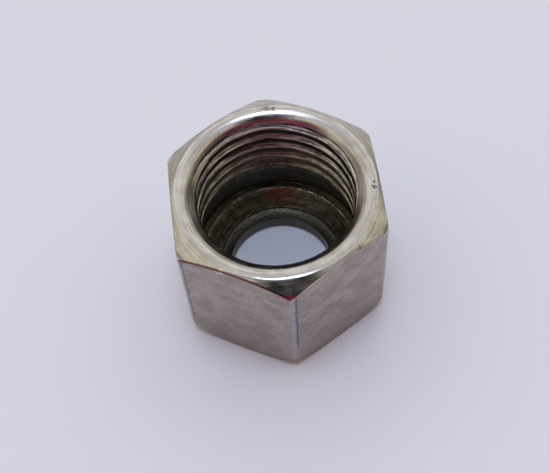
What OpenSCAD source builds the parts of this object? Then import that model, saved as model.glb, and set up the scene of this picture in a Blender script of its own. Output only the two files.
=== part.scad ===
// Union nut for a tube coupling: one hexagon piece, turned and threaded inside.
// +Z is the nut's axis. Z = 0 is the tube end that it stands on, and the thread opens at the top.

/* [Hexagon] */
// Width across the flats
across_flats = 19; // [19:0.5:22]
// Diameter across the corners, which are rounded off the bar
across_corners = 21.7; // [21.2:0.1:21.9]
// Height from the tube end to the thread end
nut_h = 15.5; // [15:0.5:18]
// Diameter where the thread end's corner chamfer meets the flat top
top_chamfer_d = 18.4; // [17.6:0.1:18.6]
// Angle of the thread end's corner chamfer from the end face
top_chamfer_angle = 30; // [15:1:35]
// Diameter where the tube end's corner round meets the flat base
base_round_d = 18.9; // [18:0.1:18.9]
// Radius of the tube end's corner round
base_round_r = 3.1; // [2.8:0.1:3.4]
// Angle from the end face at which that round starts
base_round_angle = 28; // [20:1:35]

/* [Thread] */
// Nominal (outside) diameter of the internal thread
thread_d = 16; // [15.8:0.1:16]
// Diameter across the thread's crests, inside the standard's 14.376 to 14.676
crest_d = 14.6; // [14.4:0.05:14.65]
// Distance between turns
thread_pitch = 1.5; // [1.25:0.25:2]
// Height of the groove's centre line on the +Y side, above the relief's floor
thread_phase = 3.4; // [3:0.05:5]

/* [Mouth] */
// Diameter where the 90 degree countersink would meet the flat top
mouth_d = 16.7; // [16.4:0.1:17]
// Radius of the lip between the countersink and the flat top
lip_r = 1.4; // [0.4:0.1:1.6]

/* [Relief] */
// Diameter of the turned relief below the thread
relief_d = 16.4; // [16.1:0.1:17]
// Height of the relief's flat floor above the base
relief_floor = 3.8; // [3.4:0.1:4.5]
// Height of the relief's wall
relief_h = 3.3; // [2:0.1:4]

/* [Seat and tube bore] */
// Diameter where the 90 degree seat starts, at the relief's floor
seat_top_d = 15; // [14.4:0.1:15.4]
// Diameter where the seat ends
seat_end_d = 12.1; // [12:0.1:12.6]
// Diameter of the small step below the seat
step_d = 11.5; // [11:0.1:11.8]
// Height of the small step's floor above the base
step_floor = 2.05; // [1.9:0.05:2.2]
// Diameter of the tube's bore
tube_bore_d = 10.2; // [10.1:0.1:10.6]
// Height of the straight part of the tube's bore, above the base
tube_bore_top = 1.6; // [1.4:0.1:1.8]
// Width of the broken edge at each end of the tube's bore
edge_break = 0.2; // [0.1:0.05:0.4]

/* [Hidden] */
$fn = 96;
thread_r = thread_d / 2;
crest_r = crest_d / 2;
corner_r = across_flats / sqrt(3);
relief_top = relief_floor + relief_h;
seat_end_z = relief_floor - (seat_top_d - seat_end_d) / 2;
crest_top = nut_h - (mouth_d / 2 - crest_r);
lip_x = mouth_d / 2 + lip_r * tan(22.5);
arc_steps = 8;
// The groove starts inside the relief and leaves through the mouth.
groove_start = relief_top - 0.9;
groove_turns = (nut_h + 0.1 - groove_start) / thread_pitch;
groove_steps = 36;
// The groove's half widths at its root, and where it is well inside the crests.
groove_inner_r = crest_r - 0.2;
root_half = thread_pitch / 16;
inner_half = root_half + (thread_r - groove_inner_r) * tan(30);

// What the tool turns off the thread end's corners: everything above a cone.
module top_corners() {
    beyond = corner_r + 1;
    rotate_extrude()
        polygon([
            [top_chamfer_d / 2, nut_h],
            [top_chamfer_d / 2, nut_h + 1],
            [beyond, nut_h + 1],
            [beyond, nut_h - (beyond - top_chamfer_d / 2) * tan(top_chamfer_angle)]
        ]);
}

// What the tool turns off the tube end's corners: everything below a convex round.
module base_corners() {
    centre_x = base_round_d / 2 - base_round_r * sin(base_round_angle);
    centre_z = base_round_r * cos(base_round_angle);
    sweep = 80 - base_round_angle;
    beyond = corner_r + 1;
    rotate_extrude()
        polygon(concat(
            [for (i = [0 : arc_steps])
                let (a = base_round_angle + sweep * i / arc_steps)
                [centre_x + base_round_r * sin(a), centre_z - base_round_r * cos(a)]],
            [
                [beyond, centre_z - base_round_r * cos(80)],
                [beyond, -1],
                [base_round_d / 2, -1]
            ]
        ));
}

// The hexagon bar, a corner towards -Y, rounded on its corners and turned at both ends.
module hexagon() {
    difference() {
        intersection() {
            rotate([0, 0, 30])
                cylinder(r = corner_r, h = nut_h, $fn = 6);
            cylinder(d = across_corners, h = nut_h);
        }
        top_corners();
        base_corners();
    }
}

// Everything round that is turned out of the bar: lip, mouth, crests, relief, seat, step and bore.
module turned_bore() {
    rotate_extrude()
        polygon(concat(
            [
                [0, -1],
                [tube_bore_d / 2 + edge_break, -1],
                [tube_bore_d / 2 + edge_break, 0],
                [tube_bore_d / 2, edge_break],
                [tube_bore_d / 2, tube_bore_top],
                [step_d / 2, step_floor],
                [seat_end_d / 2, step_floor],
                [seat_end_d / 2, seat_end_z],
                [seat_top_d / 2, relief_floor],
                [relief_d / 2, relief_floor],
                [relief_d / 2, relief_top],
                [crest_r, relief_top + (relief_d / 2 - crest_r) * tan(30)],
                [crest_r, crest_top]
            ],
            [for (i = [0 : arc_steps])
                let (a = 135 - 45 * i / arc_steps)
                [lip_x + lip_r * cos(a), nut_h - lip_r + lip_r * sin(a)]],
            [
                [lip_x, nut_h + 1],
                [0, nut_h + 1]
            ]
        ));
}

// One ring of four groove corners at a given turn of a right-hand helix.
function groove_ring(turn) =
    let (
        a = 90 + 360 * turn,
        z = groove_start + turn * thread_pitch + groove_shift
    )
    [for (c = [
        [groove_inner_r, -inner_half],
        [thread_r, -root_half],
        [thread_r, root_half],
        [groove_inner_r, inner_half]
    ]) [c[0] * cos(a), c[0] * sin(a), z + c[1]]];

// Shift that puts a groove centre at thread_phase above the relief's floor on the +Y side.
groove_shift = let (d = relief_floor + thread_phase - groove_start)
    d - thread_pitch * round(d / thread_pitch);

// The V groove between the crests, as one helical solid.
module thread_groove() {
    rings = floor(groove_turns * groove_steps);
    points = [for (i = [0 : rings]) each groove_ring(i / groove_steps)];
    sides = [for (i = [0 : rings - 1], j = [0 : 3])
        let (k = (j + 1) % 4)
        [4 * i + j, 4 * i + k, 4 * i + 4 + k, 4 * i + 4 + j]];
    last = 4 * rings;
    polyhedron(
        points = points,
        faces = concat([[3, 2, 1, 0]], sides, [[last, last + 1, last + 2, last + 3]]),
        convexity = 10
    );
}

module nut_body() {
    color("silver")
        difference() {
            hexagon();
            turned_bore();
            thread_groove();
        }
}

nut_body();
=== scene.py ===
import bpy
import bmesh
import math
from mathutils import Matrix, Vector


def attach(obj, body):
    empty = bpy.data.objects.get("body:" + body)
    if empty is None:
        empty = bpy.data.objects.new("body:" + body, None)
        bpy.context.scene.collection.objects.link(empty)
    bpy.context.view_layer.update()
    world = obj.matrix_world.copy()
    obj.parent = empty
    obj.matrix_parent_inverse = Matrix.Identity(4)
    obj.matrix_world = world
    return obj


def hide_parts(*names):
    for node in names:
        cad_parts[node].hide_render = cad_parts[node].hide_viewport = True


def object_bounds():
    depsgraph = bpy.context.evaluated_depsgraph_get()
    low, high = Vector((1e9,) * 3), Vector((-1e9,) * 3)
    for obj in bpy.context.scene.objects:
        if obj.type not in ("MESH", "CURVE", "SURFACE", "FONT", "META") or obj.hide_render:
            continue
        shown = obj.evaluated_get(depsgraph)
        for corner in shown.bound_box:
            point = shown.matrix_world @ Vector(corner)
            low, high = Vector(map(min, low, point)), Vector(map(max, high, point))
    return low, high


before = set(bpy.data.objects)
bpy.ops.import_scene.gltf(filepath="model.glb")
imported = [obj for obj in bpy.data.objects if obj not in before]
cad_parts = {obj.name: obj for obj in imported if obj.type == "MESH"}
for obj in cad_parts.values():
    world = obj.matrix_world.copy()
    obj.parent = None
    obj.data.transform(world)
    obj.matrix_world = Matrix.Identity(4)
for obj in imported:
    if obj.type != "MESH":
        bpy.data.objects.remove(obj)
cad_low, cad_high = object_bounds()

# ---------------------------------------------------------------------------
# The nut: one length of hexagon bar, turned and bored on a lathe, threaded
# inside, then barrel plated. Nothing is fixed to it. It stands on its tube end.
# ---------------------------------------------------------------------------
mm = 0.001
nut_h = cad_high.z
flat_r = cad_high.x
corner_round = 0.8 * mm
corner_r = (flat_r - corner_round) / math.cos(math.radians(30)) + corner_round
around = 276
near = 0.001 * mm

# The thread: the outline of one pitch is swept once round its own helix, then stacked up the bore.
crest_r = 7.3 * mm
root_r = 8.0 * mm
pitch = 1.5 * mm
relief_r = 8.2 * mm
relief_floor = 3.8 * mm
relief_top = 7.1 * mm
mouth_r = 8.35 * mm
lip_r = 1.4 * mm
lip_x = mouth_r + lip_r * math.tan(math.radians(22.5))
mouth_join_r = lip_x - lip_r * math.cos(math.radians(45))
mouth_join_z = nut_h - (mouth_r - mouth_join_r)

groove_mid = relief_floor + 3.4 * mm
flank = (root_r - crest_r) * math.tan(math.radians(30))
root_flat = pitch / 8
crest_flat = pitch - root_flat - 2 * flank
lowest = groove_mid - 2.25 * pitch - root_flat / 2 - flank - crest_flat / 2
stacked_turns = 9
root_start = crest_flat / 2 + flank
thread_line = [(crest_r, 0), (crest_r, crest_flat / 2), (root_r, root_start), (root_r, root_start + root_flat),
               (crest_r, pitch - crest_flat / 2), (crest_r, pitch)]
nut_bm = bmesh.new()
line = [nut_bm.verts.new((r, 0, lowest + z)) for r, z in thread_line]
for a, b in zip(line, line[1:]):
    nut_bm.edges.new((a, b))
bmesh.ops.bevel(nut_bm, geom=line[1:5], offset=0.06 * mm, offset_type="OFFSET", segments=2, profile=0.5,
                affect="VERTICES", material=-1)
bmesh.ops.spin(nut_bm, geom=nut_bm.verts[:] + nut_bm.edges[:], cent=(0, 0, 0), axis=(0, 0, 1),
               dvec=(0, 0, pitch / around), angle=math.tau, steps=around, use_merge=False)
one_turn = nut_bm.verts[:] + nut_bm.edges[:] + nut_bm.faces[:]
for turn in range(1, stacked_turns):
    turned = bmesh.ops.duplicate(nut_bm, geom=one_turn)["geom"]
    turned = [g for g in turned if isinstance(g, bmesh.types.BMVert)]
    bmesh.ops.translate(nut_bm, verts=turned, vec=(0, 0, turn * pitch))
bmesh.ops.remove_doubles(nut_bm, verts=nut_bm.verts, dist=0.004 * mm)

# The thread's upper turns are divided finer up the bore, so that the countersink meets them cleanly.
fine_z = 13.8 * mm
same_column = 0.001
for length, cuts in ((0.3 * mm, 2), (0.15 * mm, 1)):
    upper = [e for e in nut_bm.edges
             if e.verts[0].co.z + e.verts[1].co.z > 2 * fine_z and e.calc_length() > length
             and abs(e.verts[0].co.xy.angle_signed(e.verts[1].co.xy)) < same_column]
    bmesh.ops.subdivide_edges(nut_bm, edges=upper, cuts=cuts, use_grid_fill=True)

# The relief's run-out below and the countersink above cut the thread off, and its first turn is shallower.
shallow_z = 13.9 * mm
shallow_h = 0.6 * mm
shallow_share = 0.3
for v in nut_bm.verts:
    z = min(max(v.co.z, relief_top), mouth_join_z)
    r = math.hypot(v.co.x, v.co.y)
    depth = 1 - shallow_share * min(1, max(0, (z - shallow_z) / shallow_h))
    run_out = relief_r - (z - relief_top) / math.tan(math.radians(30))
    countersink = mouth_r - (nut_h - z)
    wanted = max(crest_r + (r - crest_r) * depth, run_out, countersink)
    v.co = Vector((v.co.x * wanted / r, v.co.y * wanted / r, z))
bmesh.ops.remove_doubles(nut_bm, verts=nut_bm.verts, dist=0.002 * mm)
nut_mesh = bpy.data.meshes.new("nut")
nut_bm.to_mesh(nut_mesh)
nut_bm.free()

# The relief, the seat, the tube's bore, both ends and the outside are one turned outline.
seat_top_r = 7.5 * mm
seat_end_r = 6.05 * mm
step_r = 5.75 * mm
step_z = 2.05 * mm
tube_r = 5.1 * mm
tube_top = 1.6 * mm
edge_break = 0.2 * mm
base_flat_r = 9.3 * mm
base_round_r = 3.1 * mm
base_start = math.radians(25)
base_centre = Vector((base_flat_r - base_round_r * math.sin(base_start), 0,
                      base_round_r * math.cos(base_start)))
top_flat_r = 9.2 * mm
worn_r = 10.52 * mm
wear = 1.8 / mm


def chamfer_z(r):
    """The height of the thread end's corner chamfer: 30 degrees, worn a little steeper at the corners' tips."""
    return nut_h - (r - top_flat_r) * math.tan(math.radians(30)) - max(0, r - worn_r) ** 2 * wear


def base_z(r):
    """The height of the tube end's corner round."""
    return base_centre.z - math.sqrt(base_round_r ** 2 - (r - base_centre.x) ** 2)


nut_bm = bmesh.new()
rim = nut_bm.verts.layers.int.new("rim")
corners = [(relief_r, relief_top), (relief_r, relief_floor), (seat_top_r, relief_floor),
           (seat_end_r, relief_floor - (seat_top_r - seat_end_r)), (seat_end_r, step_z), (step_r, step_z),
           (tube_r, tube_top), (tube_r, edge_break), (tube_r + edge_break, 0), (base_flat_r, 0)]
bore_line = [nut_bm.verts.new((r, 0, z)) for r, z in corners]
for a, b in zip(bore_line, bore_line[1:]):
    nut_bm.edges.new((a, b))
base_end = math.asin((corner_r - base_centre.x) / base_round_r)
bmesh.ops.spin(nut_bm, geom=[bore_line[-1]], cent=base_centre, axis=(0, -1, 0), angle=base_end - base_start,
               steps=5)
base_rim = max(nut_bm.verts, key=lambda v: v.co.x)
corners = [top_flat_r + share * (corner_r - top_flat_r) for share in (1, 0.9, 0.8, 0.65)]
corners = [(r, chamfer_z(r)) for r in corners] + [(top_flat_r, nut_h), (lip_x, nut_h)]
top_line = [nut_bm.verts.new((r, 0, z)) for r, z in corners]
for a, b in zip([base_rim] + top_line, top_line):
    nut_bm.edges.new((a, b))
bmesh.ops.spin(nut_bm, geom=[top_line[-1]], cent=(lip_x, 0, nut_h - lip_r), axis=(0, -1, 0),
               angle=math.radians(45), steps=9)
base_corner_z = base_rim.co.z
top_corner_z = top_line[0].co.z

# The relief's corner, the bore's edges and the ring's outer edge are softened, then long stretches are divided.
for softened, offset, segments in (([bore_line[1]], 0.16 * mm, 3), (bore_line[2:9], 0.05 * mm, 2),
                                   ([top_line[4]], 0.15 * mm, 5)):
    bmesh.ops.bevel(nut_bm, geom=softened, offset=offset, offset_type="OFFSET", segments=segments, profile=0.5,
                    affect="VERTICES", material=-1)
longest = 0.9 * mm
step_length = 0.6 * mm
wall_length = 5 * mm
wall_cuts = 12
for e in [e for e in nut_bm.edges if e.calc_length() > longest and e.verts[0].co.x < flat_r]:
    bmesh.ops.subdivide_edges(nut_bm, edges=[e], cuts=int(e.calc_length() / step_length))
for e in [e for e in nut_bm.edges if e.calc_length() > wall_length]:
    bmesh.ops.subdivide_edges(nut_bm, edges=[e], cuts=wall_cuts)
base_rim_mark, top_rim_mark = 1, 2
for v in nut_bm.verts:
    if v.co.x > corner_r - near and v.co.z < base_corner_z + near:
        v[rim] = base_rim_mark
    elif v.co.x > corner_r - near and v.co.z > top_corner_z - near:
        v[rim] = top_rim_mark
bmesh.ops.spin(nut_bm, geom=nut_bm.verts[:] + nut_bm.edges[:], cent=(0, 0, 0), axis=(0, 0, 1),
               angle=math.tau, steps=around, use_merge=True)


def wall(angle):
    """How far the hexagon's outside is from the axis at an angle, with its corners rounded."""
    off = abs((angle + math.radians(30)) % math.radians(60) - math.radians(30))
    if math.tan(off) * flat_r <= (flat_r - corner_round) * math.tan(math.radians(30)):
        return flat_r / math.cos(off)
    centre = corner_r - corner_round
    from_corner = math.radians(30) - off
    return centre * math.cos(from_corner) + math.sqrt(corner_round ** 2 - (centre * math.sin(from_corner)) ** 2)


# The six flats are pressed in from the round blank, and its columns gather towards the corners.
for v in nut_bm.verts:
    r = math.hypot(v.co.x, v.co.y)
    z = v.co.z
    if r < lip_x:
        continue
    angle = math.atan2(v.co.y, v.co.x)
    sector = round(angle / math.radians(60)) * math.radians(60)
    share = (angle - sector) / math.radians(30)
    gathered = sector + math.radians(30) * math.sin(share * math.pi / 2)
    angle += (gathered - angle) * min(1, (r - lip_x) / (top_flat_r - lip_x))
    here = wall(angle)
    if z <= base_corner_z + near:
        if r > base_flat_r:
            r = base_flat_r + (r - base_flat_r) * (here - base_flat_r) / (corner_r - base_flat_r)
            z = base_z(r)
    elif z >= top_corner_z - near:
        if r > top_flat_r:
            drop = chamfer_z(r) - z
            r = top_flat_r + (r - top_flat_r) * (here - top_flat_r) / (corner_r - top_flat_r)
            z = chamfer_z(r) - drop
    else:
        up = (z - base_corner_z) / (top_corner_z - base_corner_z)
        r = here
        z = base_z(here) + up * (chamfer_z(here) - base_z(here))
    v.co = Vector((r * math.cos(angle), r * math.sin(angle), max(0, z)))

# Both rims of the flats are rubbed to a fine edge, which stays inside the flats.
for mark, size in ((base_rim_mark, 0.025 * mm), (top_rim_mark, 0.075 * mm)):
    edges = [e for e in nut_bm.edges if e.verts[0][rim] == mark and e.verts[1][rim] == mark]
    bmesh.ops.bevel(nut_bm, geom=edges, offset=size, offset_type="OFFSET", segments=3, profile=0.5,
                    affect="EDGES", material=-1)
for v in nut_bm.verts:
    r = math.hypot(v.co.x, v.co.y)
    most = wall(math.atan2(v.co.y, v.co.x))
    if r > most:
        v.co = Vector((v.co.x * most / r, v.co.y * most / r, v.co.z))

# The turned outside and the threaded bore are joined where they meet.
nut_bm.from_mesh(nut_mesh)
bmesh.ops.remove_doubles(nut_bm, verts=nut_bm.verts, dist=0.005 * mm)
bmesh.ops.recalc_face_normals(nut_bm, faces=nut_bm.faces)
for f in nut_bm.faces:
    f.smooth = True
nut_bm.to_mesh(nut_mesh)
nut_bm.free()
nut = bpy.data.objects.new("nut", nut_mesh)
bpy.context.collection.objects.link(nut)
weighted = nut.modifiers.new("crisp flats", "WEIGHTED_NORMAL")
weighted.weight = 50


def add(tree, kind, settings, inputs):
    """Puts one node in a tree, with its settings, and with its inputs set or linked."""
    made = tree.nodes.new("ShaderNode" + kind)
    for name, value in settings.items():
        setattr(made, name, value)
    for name, value in inputs.items():
        if isinstance(value, bpy.types.NodeSocket):
            tree.links.new(value, made.inputs[name])
        else:
            made.inputs[name].default_value = value
    return made


def effect(name, inputs, outputs):
    """Starts a shared shader group with named inputs and outputs."""
    tree = bpy.data.node_groups.new(name, "ShaderNodeTree")
    for label, kind, value in inputs:
        tree.interface.new_socket(label, in_out="INPUT", socket_type=kind).default_value = value
    for label, kind in outputs:
        tree.interface.new_socket(label, in_out="OUTPUT", socket_type=kind)
    return tree, tree.nodes.new("NodeGroupInput").outputs, tree.nodes.new("NodeGroupOutput").inputs


# Shared effect: the cloudy film of plating, oil and handling, between two colours.
film, given, result = effect("cloudy film", [("Vector", "NodeSocketVector", (0, 0, 0)),
                                             ("Scale", "NodeSocketFloat", 1),
                                             ("Light", "NodeSocketColor", (1, 1, 1, 1)),
                                             ("Dark", "NodeSocketColor", (0, 0, 0, 1))],
                             [("Color", "NodeSocketColor"), ("Mask", "NodeSocketFloat")])
cloud = add(film, "TexNoise", {}, {"Vector": given["Vector"], "Scale": given["Scale"], "Detail": 5,
                                   "Roughness": 0.6})
cloud = add(film, "MapRange", {"interpolation_type": "SMOOTHSTEP"},
            {"Value": cloud.outputs["Fac"], "From Min": 0.35, "From Max": 0.65})
tint = add(film, "Mix", {"data_type": "RGBA"}, {"Factor": cloud.outputs["Result"], 6: given["Light"],
                                                7: given["Dark"]})
film.links.new(tint.outputs[2], result["Color"])
film.links.new(cloud.outputs["Result"], result["Mask"])

# Shared effect: fine tool marks that run round the nut's axis, as heights and as a mask.
marks, given, result = effect("tool marks", [("Vector", "NodeSocketVector", (0, 0, 0)),
                                             ("Fineness", "NodeSocketFloat", 8)],
                              [("Height", "NodeSocketFloat"), ("Lines", "NodeSocketFloat")])
split = add(marks, "SeparateXYZ", {}, {"Vector": given["Vector"]})
flat_place = add(marks, "CombineXYZ", {}, {"X": split.outputs["X"], "Y": split.outputs["Y"]})
radius = add(marks, "VectorMath", {"operation": "LENGTH"}, {0: flat_place.outputs["Vector"]})
across = add(marks, "CombineXYZ", {}, {"X": radius.outputs["Value"], "Z": split.outputs["Z"]})
across = add(marks, "VectorMath", {"operation": "SCALE"}, {0: across.outputs["Vector"],
                                                           "Scale": given["Fineness"]})
along = add(marks, "VectorMath", {"operation": "MULTIPLY_ADD"},
            {0: given["Vector"], 1: (0.25, 0.25, 0), 2: across.outputs["Vector"]})
grain = add(marks, "TexNoise", {}, {"Vector": along.outputs["Vector"], "Scale": 1, "Detail": 3,
                                    "Roughness": 0.55})
marks.links.new(grain.outputs["Fac"], result["Height"])
grain = add(marks, "MapRange", {}, {"Value": grain.outputs["Fac"], "From Min": 0.36, "From Max": 0.64})
marks.links.new(grain.outputs["Result"], result["Lines"])

# Shared effect: scattered small pits and specks, as a mask.
specks, given, result = effect("specks", [("Vector", "NodeSocketVector", (0, 0, 0)),
                                          ("Scale", "NodeSocketFloat", 4), ("Amount", "NodeSocketFloat", 0.3)],
                               [("Mask", "NodeSocketFloat")])
cells = add(specks, "TexNoise", {}, {"Vector": given["Vector"], "Scale": given["Scale"], "Detail": 2,
                                     "Roughness": 0.7})
floor_value = add(specks, "Math", {"operation": "SUBTRACT"}, {0: 0.8, 1: given["Amount"]})
cells = add(specks, "Math", {"operation": "SUBTRACT"},
            {0: cells.outputs["Fac"], 1: floor_value.outputs["Value"]})
cells = add(specks, "Math", {"operation": "MULTIPLY", "use_clamp": True}, {0: cells.outputs["Value"], 1: 12})
specks.links.new(cells.outputs["Value"], result["Mask"])

# Shared effect: one knock from handling, with a ragged edge, as a mask.
knock, given, result = effect("knock", [("Vector", "NodeSocketVector", (0, 0, 0)),
                                        ("Centre", "NodeSocketVector", (0, 0, 0)),
                                        ("Radius", "NodeSocketFloat", 0.4)], [("Mask", "NodeSocketFloat")])
ragged = add(knock, "TexNoise", {}, {"Vector": given["Vector"], "Scale": 6, "Detail": 4, "Roughness": 0.8})
ragged = add(knock, "MapRange", {}, {"Value": ragged.outputs["Fac"], "From Min": 0.38, "From Max": 0.62,
                                     "To Min": 0.3, "To Max": 1.8})
reach = add(knock, "VectorMath", {"operation": "DISTANCE"}, {0: given["Vector"], 1: given["Centre"]})
reach = add(knock, "Math", {"operation": "MULTIPLY"}, {0: reach.outputs["Value"], 1: ragged.outputs["Result"]})
reach = add(knock, "Math", {"operation": "DIVIDE"}, {0: reach.outputs["Value"], 1: given["Radius"]})
reach = add(knock, "MapRange", {}, {"Value": reach.outputs["Value"], "From Min": 1.1, "From Max": 0.7})
knock.links.new(reach.outputs["Result"], result["Mask"])


def metal(name):
    """A bare metal material: its tree, its shader and its place in millimetres."""
    made = bpy.data.materials.new(name)
    made.use_nodes = True
    tree = made.node_tree
    shader = tree.nodes["Principled BSDF"]
    shader.inputs["Metallic"].default_value = 1
    place = add(tree, "TexCoord", {}, {}).outputs["Object"]
    place = add(tree, "Mapping", {}, {"Vector": place, "Scale": (1 / mm, 1 / mm, 1 / mm)}).outputs["Vector"]
    return made, tree, shader, place


def use(tree, shared, inputs):
    """Places a shared effect in a tree."""
    return add(tree, "Group", {"node_tree": shared}, inputs)


def between(tree, value, low, high, fade, most=1):
    """A mask that is full between two values and gone a fade's width outside them."""
    rise = add(tree, "MapRange", {}, {"Value": value, "From Min": low - fade, "From Max": low, "To Max": most})
    fall = add(tree, "MapRange", {}, {"Value": value, "From Min": high + fade, "From Max": high})
    return add(tree, "Math", {"operation": "MULTIPLY"}, {0: rise.outputs["Result"], 1: fall.outputs["Result"]})


def mixed(tree, mask, below, above):
    """Lays one colour over another by a mask. The lower one is an output or has four numbers."""
    above = above if isinstance(above, bpy.types.NodeSocket) else above + (1,)
    return add(tree, "Mix", {"data_type": "RGBA"}, {"Factor": mask, 6: below, 7: above}).outputs[2]


def overlaid(tree, share, below, pattern):
    """Streaks a colour with a pattern, by a share."""
    return add(tree, "Mix", {"data_type": "RGBA", "blend_type": "OVERLAY"},
               {"Factor": share, 6: below, 7: pattern}).outputs[2]


def knocks(tree, place, colour, spots):
    """Lays the knocks at some places over a colour: each has a centre, a radius and its own colour."""
    for centre, radius, mark in spots:
        mask = use(tree, knock, {"Vector": place, "Centre": centre, "Radius": radius}).outputs["Mask"]
        colour = mixed(tree, mask, colour, mark)
    return colour


# The flats: bright drawn bar under dull plating, with fine level marks and small pits, painted darker low down
# and with a painted highlight along each corner.
flats, tree, shader, place = metal("plated flats")
cover = use(tree, film, {"Vector": place, "Scale": 0.5, "Light": (0.42, 0.362, 0.315, 1),
                         "Dark": (0.335, 0.287, 0.246, 1)})
level = add(tree, "Mapping", {}, {"Vector": place, "Scale": (0.35, 0.35, 6)})
drawn = add(tree, "TexNoise", {}, {"Vector": level.outputs["Vector"], "Scale": 1, "Detail": 4,
                                   "Roughness": 0.6})
drawn = add(tree, "MapRange", {}, {"Value": drawn.outputs["Fac"], "From Min": 0.33, "From Max": 0.67})
grit = add(tree, "TexNoise", {}, {"Vector": place, "Scale": 7, "Detail": 3, "Roughness": 0.7})
pits = use(tree, specks, {"Vector": place, "Scale": 3.4, "Amount": 0.13})
streaked = overlaid(tree, 0.14, cover.outputs["Color"], drawn.outputs["Result"])
streaked = overlaid(tree, 0.55, streaked, grit.outputs["Fac"])
split = add(tree, "SeparateXYZ", {}, {"Vector": place})
# The flats are painted darker towards the bottom, up to half way to this colour at the base.
lower_darkening = add(tree, "MapRange", {}, {"Value": split.outputs["Z"], "From Min": 9, "From Max": 0.5, "To Max": 0.5})
lower_darkening = mixed(tree, lower_darkening.outputs["Result"], streaked, (0.28, 0.218, 0.192))
dirty = mixed(tree, pits.outputs["Mask"], lower_darkening, (0.13, 0.105, 0.10))
# Painted highlight: a pale band is painted along each rounded corner, where the edge catches the light, and a
# dark line is painted just beside it as the edge's shaded side. Noise breaks both, and the dark line fades out
# low down.
turned_by = add(tree, "Math", {"operation": "ARCTAN2"}, {0: split.outputs["X"], 1: split.outputs["Y"]})
from_corner = add(tree, "Math", {"operation": "WRAP"}, {0: turned_by.outputs["Value"], 1: math.radians(30),
                                                        2: math.radians(-30)})
uneven = add(tree, "TexNoise", {}, {"Vector": place, "Scale": 0.8, "Detail": 4, "Roughness": 0.65})
bent = add(tree, "MapRange", {}, {"Value": uneven.outputs["Fac"], "To Min": -0.02, "To Max": 0.02})
from_corner = add(tree, "Math", {"operation": "ADD"},
                  {0: from_corner.outputs["Value"], 1: bent.outputs["Result"]})
painted_edge_light = add(tree, "Math", {"operation": "ABSOLUTE"}, {0: from_corner.outputs["Value"]})
painted_edge_light = add(tree, "MapRange", {"interpolation_type": "SMOOTHSTEP"},
             {"Value": painted_edge_light.outputs["Value"], "From Min": 0.028, "From Max": 0.010, "To Max": 0.55})
painted_edge_shade = add(tree, "Math", {"operation": "ADD"}, {0: from_corner.outputs["Value"], 1: 0.031})
painted_edge_shade = add(tree, "Math", {"operation": "ABSOLUTE"}, {0: painted_edge_shade.outputs["Value"]})
painted_edge_shade = add(tree, "MapRange", {"interpolation_type": "SMOOTHSTEP"},
             {"Value": painted_edge_shade.outputs["Value"], "From Min": 0.014, "From Max": 0.004, "To Max": 0.9})
broken = add(tree, "MapRange", {}, {"Value": uneven.outputs["Fac"], "From Min": 0.3, "From Max": 0.46})
faded = add(tree, "MapRange", {}, {"Value": split.outputs["Z"], "From Min": 2.5, "From Max": 5})
painted_edge_shade = add(tree, "Math", {"operation": "MULTIPLY"},
             {0: painted_edge_shade.outputs["Result"], 1: broken.outputs["Result"]})
painted_edge_shade = add(tree, "Math", {"operation": "MULTIPLY"},
             {0: painted_edge_shade.outputs["Value"], 1: faded.outputs["Result"]})
painted_edge_light = mixed(tree, painted_edge_light.outputs["Result"], dirty, (0.42, 0.41, 0.43))
painted_edge_light = mixed(tree, painted_edge_shade.outputs["Value"], painted_edge_light, (0.12, 0.11, 0.16))
marked = knocks(tree, place, painted_edge_light, [((-5.75, -7.65, 15.25), 0.24, (0.95, 0.93, 0.90)),
                                      ((3.62, -8.88, 8.4), 0.16, (0.08, 0.07, 0.06)),
                                      ((-4.2, -8.6, 12.2), 0.12, (0.10, 0.09, 0.08))])
tree.links.new(marked, shader.inputs["Base Color"])
rough = add(tree, "MapRange", {}, {"Value": cover.outputs["Mask"], "To Min": 0.27, "To Max": 0.38})
tree.links.new(rough.outputs["Result"], shader.inputs["Roughness"])
relief = add(tree, "Math", {"operation": "SUBTRACT"}, {0: grit.outputs["Fac"], 1: pits.outputs["Mask"]})
bump = add(tree, "Bump", {}, {"Height": relief.outputs["Value"], "Strength": 0.25, "Distance": 0.00004})
tree.links.new(bump.outputs["Normal"], shader.inputs["Normal"])

# The turned ends: ring, lip, countersink, chamfers and base, brighter, with circular tool marks.
ends, tree, shader, place = metal("turned ends")
cover = use(tree, film, {"Vector": place, "Scale": 0.7, "Light": (0.62, 0.60, 0.565, 1),
                         "Dark": (0.52, 0.495, 0.46, 1)})
turned = use(tree, marks, {"Vector": place, "Fineness": 9})
pits = use(tree, specks, {"Vector": place, "Scale": 2.2, "Amount": 0.08})
streaked = overlaid(tree, 0.3, cover.outputs["Color"], turned.outputs["Lines"])
dirty = mixed(tree, pits.outputs["Mask"], streaked, (0.15, 0.13, 0.12))
marked = knocks(tree, place, dirty, [((-5.75, -7.55, 15.35), 0.24, (0.95, 0.93, 0.90)),
                                     ((0.3, 8.9, 15.5), 0.42, (0.33, 0.31, 0.29)),
                                     ((0.9, 8.8, 15.5), 0.25, (0.26, 0.24, 0.22)),
                                     ((8.81, -1.24, 15.5), 0.22, (0.14, 0.13, 0.12)),
                                     ((8.9, -0.7, 15.5), 0.14, (0.10, 0.09, 0.08)),
                                     ((6.6, -7.1, 15.3), 0.2, (0.25, 0.23, 0.22))])
# Painted reflection: a dark red band is painted on the ends' rims next to the front-left flat, standing in for
# the dark red room it reflects.
front_left = add(tree, "VectorMath", {"operation": "DOT_PRODUCT"}, {0: place, 1: (-0.5, -0.866, 0)})
painted_red_reflection = between(tree, front_left.outputs["Value"], 9.37, 9.6, 0.05, 0.85)
marked = mixed(tree, painted_red_reflection.outputs["Value"], marked, (0.16, 0.03, 0.045))
split = add(tree, "SeparateXYZ", {}, {"Vector": place})
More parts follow.
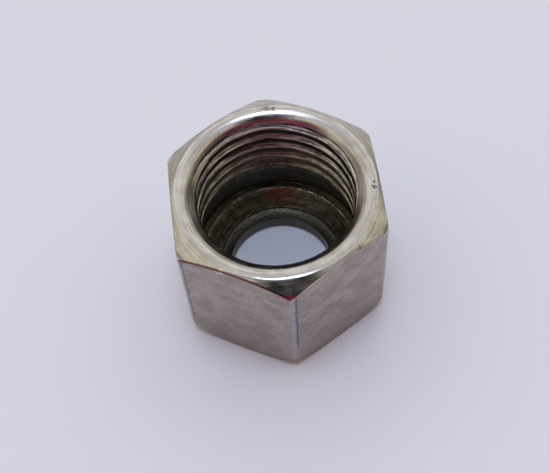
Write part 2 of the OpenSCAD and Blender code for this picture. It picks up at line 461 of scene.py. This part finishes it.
# Painted shade: the lowest 1.5 mm of the ends is painted dark red towards the paper, where the base meets it.
painted_base_shade = add(tree, "MapRange", {}, {"Value": split.outputs["Z"], "From Min": 1.5, "From Max": 0.2,
                                     "To Max": 0.8})
painted_base_shade = mixed(tree, painted_base_shade.outputs["Result"], marked, (0.16, 0.075, 0.08))
tree.links.new(painted_base_shade, shader.inputs["Base Color"])
rough = add(tree, "MapRange", {}, {"Value": cover.outputs["Mask"], "To Min": 0.16, "To Max": 0.26})
tree.links.new(rough.outputs["Result"], shader.inputs["Roughness"])
bump = add(tree, "Bump", {}, {"Height": turned.outputs["Height"], "Strength": 0.35, "Distance": 0.00003})
tree.links.new(bump.outputs["Normal"], shader.inputs["Normal"])

# The bore: the same steel, hardly plated and scored by the threading tool. It is painted darker and browner
# deeper down, and darkest on the thread's crests, in the relief and in the tube, as painted shade; its edges
# carry painted highlights, and the seat has a patch of rust.
bore, tree, shader, place = metal("oily bore")
split = add(tree, "SeparateXYZ", {}, {"Vector": place})
height_up = split.outputs["Z"]
radius = add(tree, "CombineXYZ", {}, {"X": split.outputs["X"], "Y": split.outputs["Y"]})
radius = add(tree, "VectorMath", {"operation": "LENGTH"}, {0: radius.outputs["Vector"]}).outputs["Value"]
turned = use(tree, marks, {"Vector": place, "Fineness": 7})
cover = use(tree, film, {"Vector": place, "Scale": 0.9, "Light": (0.56, 0.56, 0.545, 1),
                         "Dark": (0.36, 0.345, 0.325, 1)})
deep_shade_film = use(tree, film, {"Vector": place, "Scale": 1.3, "Light": (0.22, 0.19, 0.125, 1),
                               "Dark": (0.12, 0.10, 0.065, 1)})
# Painted shade: the thread's crests are painted near black, standing in for the dark lower bore they reflect.
flank_share = between(tree, radius, 7.44, 9, 0.11).outputs["Value"]
thread_and_crest_shade = mixed(tree, flank_share, (0.06, 0.036, 0.026, 1), cover.outputs["Color"])
thread_and_crest_shade = overlaid(tree, 0.85, thread_and_crest_shade, turned.outputs["Lines"])
# Painted shade: lower down, the bore is painted darker and browner, deeper in the hole. The relief wall and the
# tube are painted darker still, as shade in these recesses.
deep_shade_share = between(tree, height_up, -1, 6.8, 5.5).outputs["Value"]
colour = mixed(tree, deep_shade_share, thread_and_crest_shade, deep_shade_film.outputs["Color"])
relief_shade_share = between(tree, height_up, 3.9, 6.6, 0.3, 0.65).outputs["Value"]
colour = mixed(tree, relief_shade_share, colour, (0.07, 0.07, 0.052))
tube_shade_share = between(tree, height_up, -1, 2.3, 0.1).outputs["Value"]
colour = mixed(tree, tube_shade_share, colour, (0.105, 0.095, 0.07))
colour = overlaid(tree, 0.3, colour, turned.outputs["Lines"])

# Painted highlights: thin bright lines are painted along the thread's crest edges, the seat's edges and the
# run-out's edge, broken in patches, where these edges catch the light.
patchy = add(tree, "TexNoise", {}, {"Vector": place, "Scale": 1.6, "Detail": 5, "Roughness": 0.75})
patchy = add(tree, "MapRange", {}, {"Value": patchy.outputs["Fac"], "From Min": 0.46, "From Max": 0.6})
crest_edges = between(tree, radius, 7.46, 7.52, 0.04).outputs["Value"]
seat_edges = between(tree, height_up, 2.32, 2.42, 0.06).outputs["Value"]
run_out_edge = between(tree, height_up, 7.0, 7.1, 0.12).outputs["Value"]
for edges, strength in ((crest_edges, 0.75), (seat_edges, 0.5), (run_out_edge, 0.6)):
    painted_edge_light = add(tree, "Math", {"operation": "MULTIPLY"}, {0: edges, 1: patchy.outputs["Result"]})
    painted_edge_light = add(tree, "Math", {"operation": "MULTIPLY"}, {0: painted_edge_light.outputs["Value"], 1: strength})
    colour = mixed(tree, painted_edge_light.outputs["Value"], colour, (0.80, 0.75, 0.66))
dirt = use(tree, specks, {"Vector": place, "Scale": 4, "Amount": 0.21})
low_down = between(tree, height_up, -1, 7, 2.5).outputs["Value"]
dirt = add(tree, "Math", {"operation": "MULTIPLY"}, {0: dirt.outputs["Mask"], 1: low_down}).outputs["Value"]
colour = mixed(tree, dirt, colour, (0.03, 0.024, 0.018))
rust = use(tree, film, {"Vector": place, "Scale": 1.5, "Light": (0.36, 0.11, 0.075, 1),
                        "Dark": (0.22, 0.08, 0.05, 1)})
rust_share = add(tree, "VectorMath", {"operation": "DISTANCE"}, {0: place, 1: (0.9, 7.3, 3.8)})
rust_share = add(tree, "MapRange", {"interpolation_type": "SMOOTHSTEP"},
                 {"Value": rust_share.outputs["Value"], "From Min": 2.8, "From Max": 0.2, "To Max": 0.9})
seat_share = between(tree, radius, 6.1, 7.5, 0.05).outputs["Value"]
rust_share = add(tree, "Math", {"operation": "MULTIPLY"}, {0: rust_share.outputs["Result"], 1: seat_share})
colour = mixed(tree, rust_share.outputs["Value"], colour, rust.outputs["Color"])
tree.links.new(colour, shader.inputs["Base Color"])
rough = add(tree, "MapRange", {}, {"Value": cover.outputs["Mask"], "To Min": 0.3, "To Max": 0.46})
tree.links.new(rough.outputs["Result"], shader.inputs["Roughness"])
height = add(tree, "Math", {"operation": "SUBTRACT"}, {0: turned.outputs["Height"], 1: dirt})
bump = add(tree, "Bump", {}, {"Height": height.outputs["Value"], "Strength": 0.6, "Distance": 0.0001})
tree.links.new(bump.outputs["Normal"], shader.inputs["Normal"])

# The bore's finish stops just under the countersink, and the flats are all that is upright outside.
for finish in (flats, ends, bore):
    nut_mesh.materials.append(finish)
upright = 0.15
flats_from = 9.4 * mm
bore_to = relief_r + 0.01 * mm
bore_from_z = 0.1 * mm
under_countersink = 0.05 * mm
for f in nut_mesh.polygons:
    r = math.hypot(f.center.x, f.center.y)
    if r > flats_from and abs(f.normal.z) < upright:
        f.material_index = 0
    elif r < bore_to and bore_from_z < f.center.z < nut_h - (mouth_r - r) - under_countersink:
        f.material_index = 2
    else:
        f.material_index = 1
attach(nut, "root")
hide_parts("nut_body")

# ---------------------------------------------------------------------------
# The table: a plain sheet of smooth pale paper, lying flat under the nut.
# ---------------------------------------------------------------------------
sheet_half = 1.5
sheet_bm = bmesh.new()
bmesh.ops.create_grid(sheet_bm, x_segments=1, y_segments=1, size=sheet_half)
sheet_mesh = bpy.data.meshes.new("sheet")
sheet_bm.to_mesh(sheet_mesh)
sheet_bm.free()
sheet = bpy.data.objects.new("sheet", sheet_mesh)
bpy.context.collection.objects.link(sheet)
paper = bpy.data.materials.new("pale paper")
paper.use_nodes = True
paper.node_tree.nodes["Principled BSDF"].inputs["Base Color"].default_value = (0.92, 0.93, 1, 1)
paper.node_tree.nodes["Principled BSDF"].inputs["Roughness"].default_value = 0.8
sheet_mesh.materials.append(paper)

# ---------------------------------------------------------------------------
# The camera looks down at the nut's threaded end from in front of one corner.
# ---------------------------------------------------------------------------
camera_azimuth = math.radians(2.68)
camera_elevation = math.radians(60.21)
camera_roll = math.radians(-5.31)
camera_distance = 100.72 * mm
aim = Vector((-0.418, -0.443, 7.6)) * mm
camera_data = bpy.data.cameras.new("camera")
camera_data.lens = 68.5
camera_data.clip_start = 0.001
camera = bpy.data.objects.new("camera", camera_data)
bpy.context.collection.objects.link(camera)
look = (Matrix.Rotation(-camera_azimuth, 4, "Z") @ Matrix.Rotation(math.radians(90) - camera_elevation, 4, "X")
        @ Matrix.Rotation(camera_roll, 4, "Z"))
camera.matrix_world = Matrix.Translation(aim) @ look @ Matrix.Translation((0, 0, camera_distance))
bpy.context.scene.camera = camera
bpy.context.scene.view_settings.view_transform = "Standard"

# ---------------------------------------------------------------------------
# The studio: a soft room that is brightest high up behind the nut, and darker
# and redder towards the camera. The metal takes its colours from it.
# ---------------------------------------------------------------------------
world = bpy.data.worlds.new("studio")
bpy.context.scene.world = world
world.use_nodes = True
tree = world.node_tree
direction = tree.nodes.new("ShaderNodeTexCoord").outputs["Generated"]


def card(below, azimuth, elevation, inner, outer, colour):
    """Lays a soft round patch of colour over the room, at a direction and with two angles for its edge."""
    a, e = math.radians(azimuth), math.radians(elevation)
    towards = tree.nodes.new("ShaderNodeVectorMath")
    towards.operation = "DOT_PRODUCT"
    towards.inputs[1].default_value = (math.sin(a) * math.cos(e), -math.cos(a) * math.cos(e), math.sin(e))
    tree.links.new(direction, towards.inputs[0])
    edge = tree.nodes.new("ShaderNodeMapRange")
    edge.interpolation_type = "SMOOTHSTEP"
    edge.inputs["From Min"].default_value = math.cos(math.radians(outer))
    edge.inputs["From Max"].default_value = math.cos(math.radians(inner))
    tree.links.new(towards.outputs["Value"], edge.inputs["Value"])
    return mixed(tree, edge.outputs["Result"], below, colour)


# Azimuths go round from the front, 90 to the right and 180 behind.
upwards = add(tree, "SeparateXYZ", {}, {"Vector": direction})
upwards = add(tree, "MapRange", {"interpolation_type": "SMOOTHSTEP"},
              {"Value": upwards.outputs["Z"], "From Min": 0.26, "From Max": 0.58})
room = mixed(tree, upwards.outputs["Result"], (0.30, 0.27, 0.22, 1), (0.78, 0.74, 0.60))
room = card(room, 84, 14, 10, 24, (0.25, 0.22, 0.17))
room = card(room, 128, -2, 12, 34, (0.05, 0.045, 0.04))
room = card(room, 180, 10, 30, 65, (0.76, 0.72, 0.68))
room = card(room, -150, 10, 10, 28, (0.50, 0.46, 0.42))
room = card(room, 150, 12, 8, 22, (0.60, 0.56, 0.52))
room = card(room, 180, 52, 20, 50, (0.90, 0.88, 0.85))
room = card(room, 0, 90, 24, 36, (0.60, 0.60, 0.62))
room = card(room, 52, 25, 10, 34, (0.20, 0.15, 0.11))
for azimuth, elevation, red in ((36, 21, (0.10, 0.015, 0.035)), (-46, 5, (0.14, 0.018, 0.04)),
                                (-42, 21, (0.16, 0.025, 0.05)), (10, 21, (0.20, 0.012, 0.045)),
                                (-16, 21, (0.23, 0.014, 0.055))):
    room = card(room, azimuth, elevation, 17, 28, red)
room = card(room, 0, 90, 3, 13, (7.4, 8.4, 11.2))
room = card(room, 3, 59, 14, 24, (0.012, 0.014, 0.010))
shown = tree.nodes.new("ShaderNodeMix")
shown.data_type = "RGBA"
rays = tree.nodes.new("ShaderNodeLightPath")
tree.links.new(rays.outputs["Is Camera Ray"], shown.inputs["Factor"])
tree.links.new(room, shown.inputs["A"])
shown.inputs["B"].default_value = (0.66, 0.66, 0.75, 1)
tree.links.new(shown.outputs["Result"], tree.nodes["Background"].inputs["Color"])
tree.nodes["Background"].inputs["Strength"].default_value = 1
